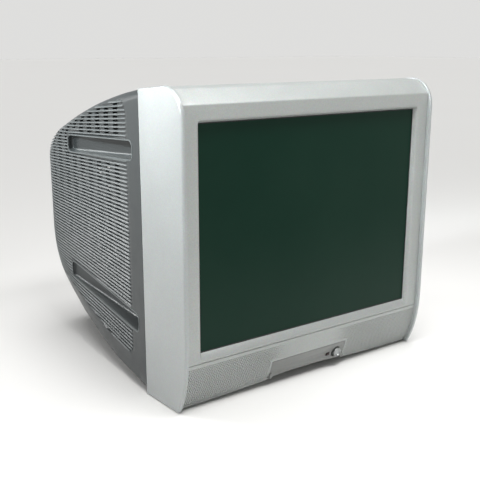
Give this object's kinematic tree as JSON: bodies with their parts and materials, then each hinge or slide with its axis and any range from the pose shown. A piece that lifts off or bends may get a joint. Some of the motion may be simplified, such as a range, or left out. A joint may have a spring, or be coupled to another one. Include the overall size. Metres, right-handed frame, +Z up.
{
  "type": "cathode ray tube television",
  "caption": "Flat-face cathode ray tube television with a silver front, grey louvred back cover, finger grips, speakers, drop-down control flap and a complete tube and chassis inside.",
  "frame": {"origin": "centre of the bounding box's bottom face, on the table under the set", "axes": "+Z up, the screen faces -Y, +X to the right of a viewer who looks at the screen"},
  "size_m": [0.472, 0.487, 0.442],
  "materials": {
    "silver_plastic": "satin silver paint",
    "light_silver_plastic": "satin light silver paint",
    "dark_grey_plastic": "fine grained",
    "black_plastic": "moulded",
    "white_plastic": "moulded",
    "bright_button": "bright plated",
    "lamp_window": "polished",
    "tinted_glass": "polished",
    "coated_glass": "graphite coated",
    "steel": "plain",
    "aluminium": "extruded",
    "copper_winding": "enamelled wire",
    "ferrite": "sintered",
    "circuit_board": "phenolic board",
    "rubber": "moulded",
    "red_lead": "silicone",
    "paper_cone": "pressed paper",
    "capacitor_sleeve": "shrink sleeve"
  },
  "bodies": {
    "cabinet": {"front_bezel": "silver_plastic", "chin_panel": "silver_plastic", "left_cheek": "light_silver_plastic", "right_cheek": "light_silver_plastic", "control_panel": "black_plastic", "power_switch": "black_plastic", "standby_light_pipe": "lamp_window", "control_board": "circuit_board", "front_jack_block": "black_plastic", "front_left_foot": "rubber", "front_right_foot": "rubber", "rear_left_foot": "rubber", "rear_right_foot": "rubber", "left_speaker_basket": "steel", "right_speaker_basket": "steel", "faceplate": "tinted_glass", "funnel": "coated_glass", "tension_band": "steel", "tube_screw_lower_left": "steel", "tube_screw_lower_right": "steel", "tube_screw_upper_left": "steel", "tube_screw_upper_right": "steel", "shadow_mask": "steel", "electron_gun": "steel", "tube_base": "white_plastic", "tube_socket": "white_plastic", "neck_board": "circuit_board", "yoke_former": "white_plastic", "yoke_core": "ferrite", "yoke_coils": "copper_winding", "magnet_sleeve": "black_plastic", "degaussing_coil": "black_plastic", "anode_cap": "rubber", "anode_lead": "red_lead", "chassis_tray": "black_plastic", "main_board": "circuit_board", "flyback_transformer": "black_plastic", "heatsink": "aluminium", "main_capacitor": "capacitor_sleeve", "switching_transformer": "ferrite", "terminal_board": "circuit_board", "rear_jack_block": "black_plastic", "tuner": "steel", "terminal_panel": "black_plastic", "mains_cord_gland": "rubber", "rear_cover": "dark_grey_plastic", "cover_screw_left": "steel", "cover_screw_right": "steel"},
    "control_flap_body": {"control_flap": "silver_plastic"},
    "power_button_body": {"power_button": "bright_button"},
    "volume_down_button_body": {"volume_down_button": "silver_plastic"},
    "volume_up_button_body": {"volume_up_button": "silver_plastic"},
    "channel_down_button_body": {"channel_down_button": "silver_plastic"},
    "channel_up_button_body": {"channel_up_button": "silver_plastic"},
    "focus_knob_body": {"focus_knob": "white_plastic"},
    "screen_knob_body": {"screen_knob": "white_plastic"},
    "purity_ring_body": {"purity_ring": "black_plastic"},
    "convergence_ring_body": {"convergence_ring": "white_plastic"},
    "left_speaker_cone_body": {"left_speaker_cone": "paper_cone"},
    "right_speaker_cone_body": {"right_speaker_cone": "paper_cone"}
  },
  "joints": [
    {"name": "control_flap_hinge", "type": "hinge", "parent": "cabinet", "child": "control_flap_body", "pos_m": [0, -0.222, 0.013], "axis": [1, 0, 0], "range_deg": [0, 85]},
    {"name": "power_button_press", "type": "slide", "parent": "cabinet", "child": "power_button_body", "axis": [0, 1, 0], "range_m": [0, 0.003], "stiffness_N_per_m": 400},
    {"name": "volume_down_press", "type": "slide", "parent": "cabinet", "child": "volume_down_button_body", "axis": [0, 1, 0], "range_m": [0, 0.0015], "stiffness_N_per_m": 500},
    {"name": "volume_up_press", "type": "slide", "parent": "cabinet", "child": "volume_up_button_body", "axis": [0, 1, 0], "range_m": [0, 0.0015], "stiffness_N_per_m": 500},
    {"name": "channel_down_press", "type": "slide", "parent": "cabinet", "child": "channel_down_button_body", "axis": [0, 1, 0], "range_m": [0, 0.0015], "stiffness_N_per_m": 500},
    {"name": "channel_up_press", "type": "slide", "parent": "cabinet", "child": "channel_up_button_body", "axis": [0, 1, 0], "range_m": [0, 0.0015], "stiffness_N_per_m": 500},
    {"name": "focus_knob_turn", "type": "hinge", "parent": "cabinet", "child": "focus_knob_body", "pos_m": [-0.091, 0.1005, 0.08], "axis": [0, 1, 0], "range_deg": [-135, 135]},
    {"name": "screen_knob_turn", "type": "hinge", "parent": "cabinet", "child": "screen_knob_body", "pos_m": [-0.091, 0.1005, 0.056], "axis": [0, 1, 0], "range_deg": [-135, 135]},
    {"name": "purity_ring_turn", "type": "hinge", "parent": "cabinet", "child": "purity_ring_body", "pos_m": [0, 0.106, 0.24], "axis": [0, 1, 0], "continuous": true},
    {"name": "convergence_ring_turn", "type": "hinge", "parent": "cabinet", "child": "convergence_ring_body", "pos_m": [0, 0.114, 0.24], "axis": [0, 1, 0], "continuous": true},
    {"name": "left_cone_travel", "type": "slide", "parent": "cabinet", "child": "left_speaker_cone_body", "axis": [0, -1, 0], "range_m": [-0.0015, 0.0015], "stiffness_N_per_m": 2000},
    {"name": "right_cone_travel", "type": "slide", "parent": "cabinet", "child": "right_speaker_cone_body", "axis": [0, -1, 0], "range_m": [-0.0015, 0.0015], "stiffness_N_per_m": 2000}
  ]
}
